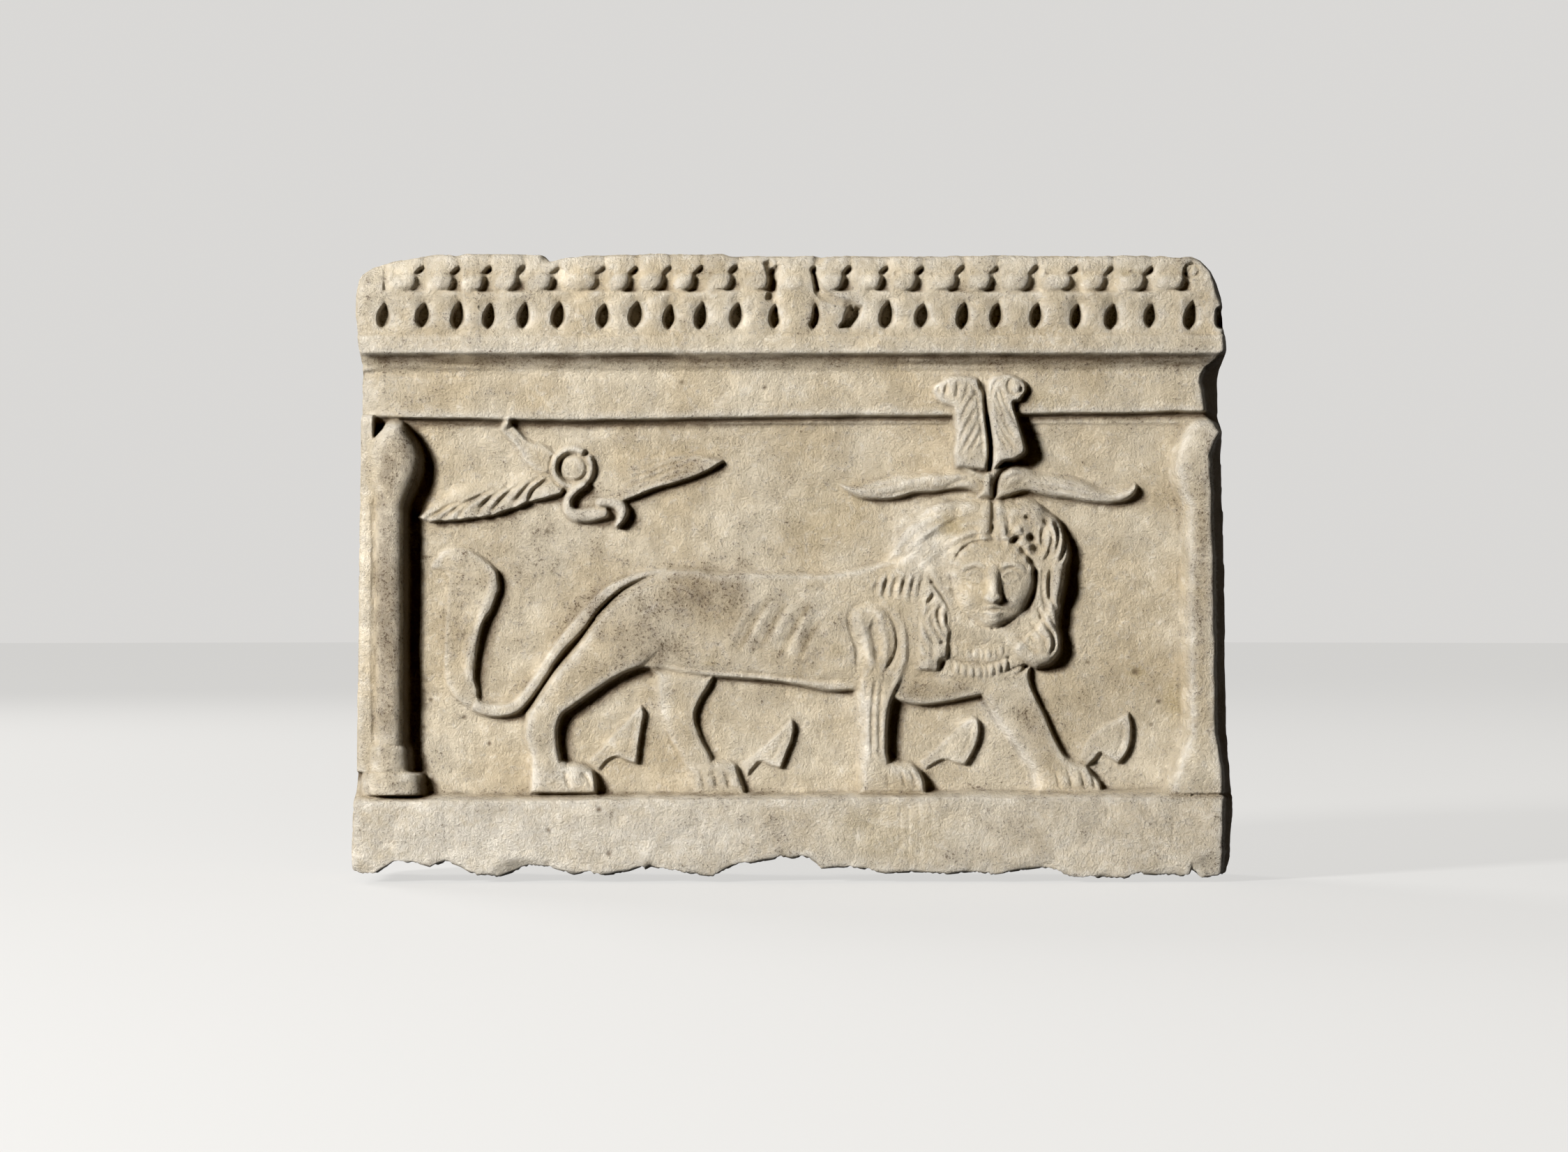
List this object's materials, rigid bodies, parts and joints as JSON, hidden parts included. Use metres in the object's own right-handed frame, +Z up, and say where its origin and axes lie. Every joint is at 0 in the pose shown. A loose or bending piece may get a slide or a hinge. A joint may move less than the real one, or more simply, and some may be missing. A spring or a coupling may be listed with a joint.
{
  "type": "stone relief panel",
  "caption": "Shrine-shaped limestone relief panel: walking sphinx, vulture and knives between two columns, under a cavetto cornice and cobra frieze, broken along its lower edge.",
  "frame": {"origin": "centre of the flat back face, where the panel rests against or is built into a wall", "axes": "+X to the viewer's right along the panel, +Y into the wall, +Z up; the carved front faces -Y"},
  "size_m": [0.4223, 0.09, 0.299],
  "materials": {
    "limestone": "dry, cream to grey-beige, pitted and weathered, matt"
  },
  "bodies": {
    "root": {"relief_panel": "limestone"}
  },
  "joints": []
}
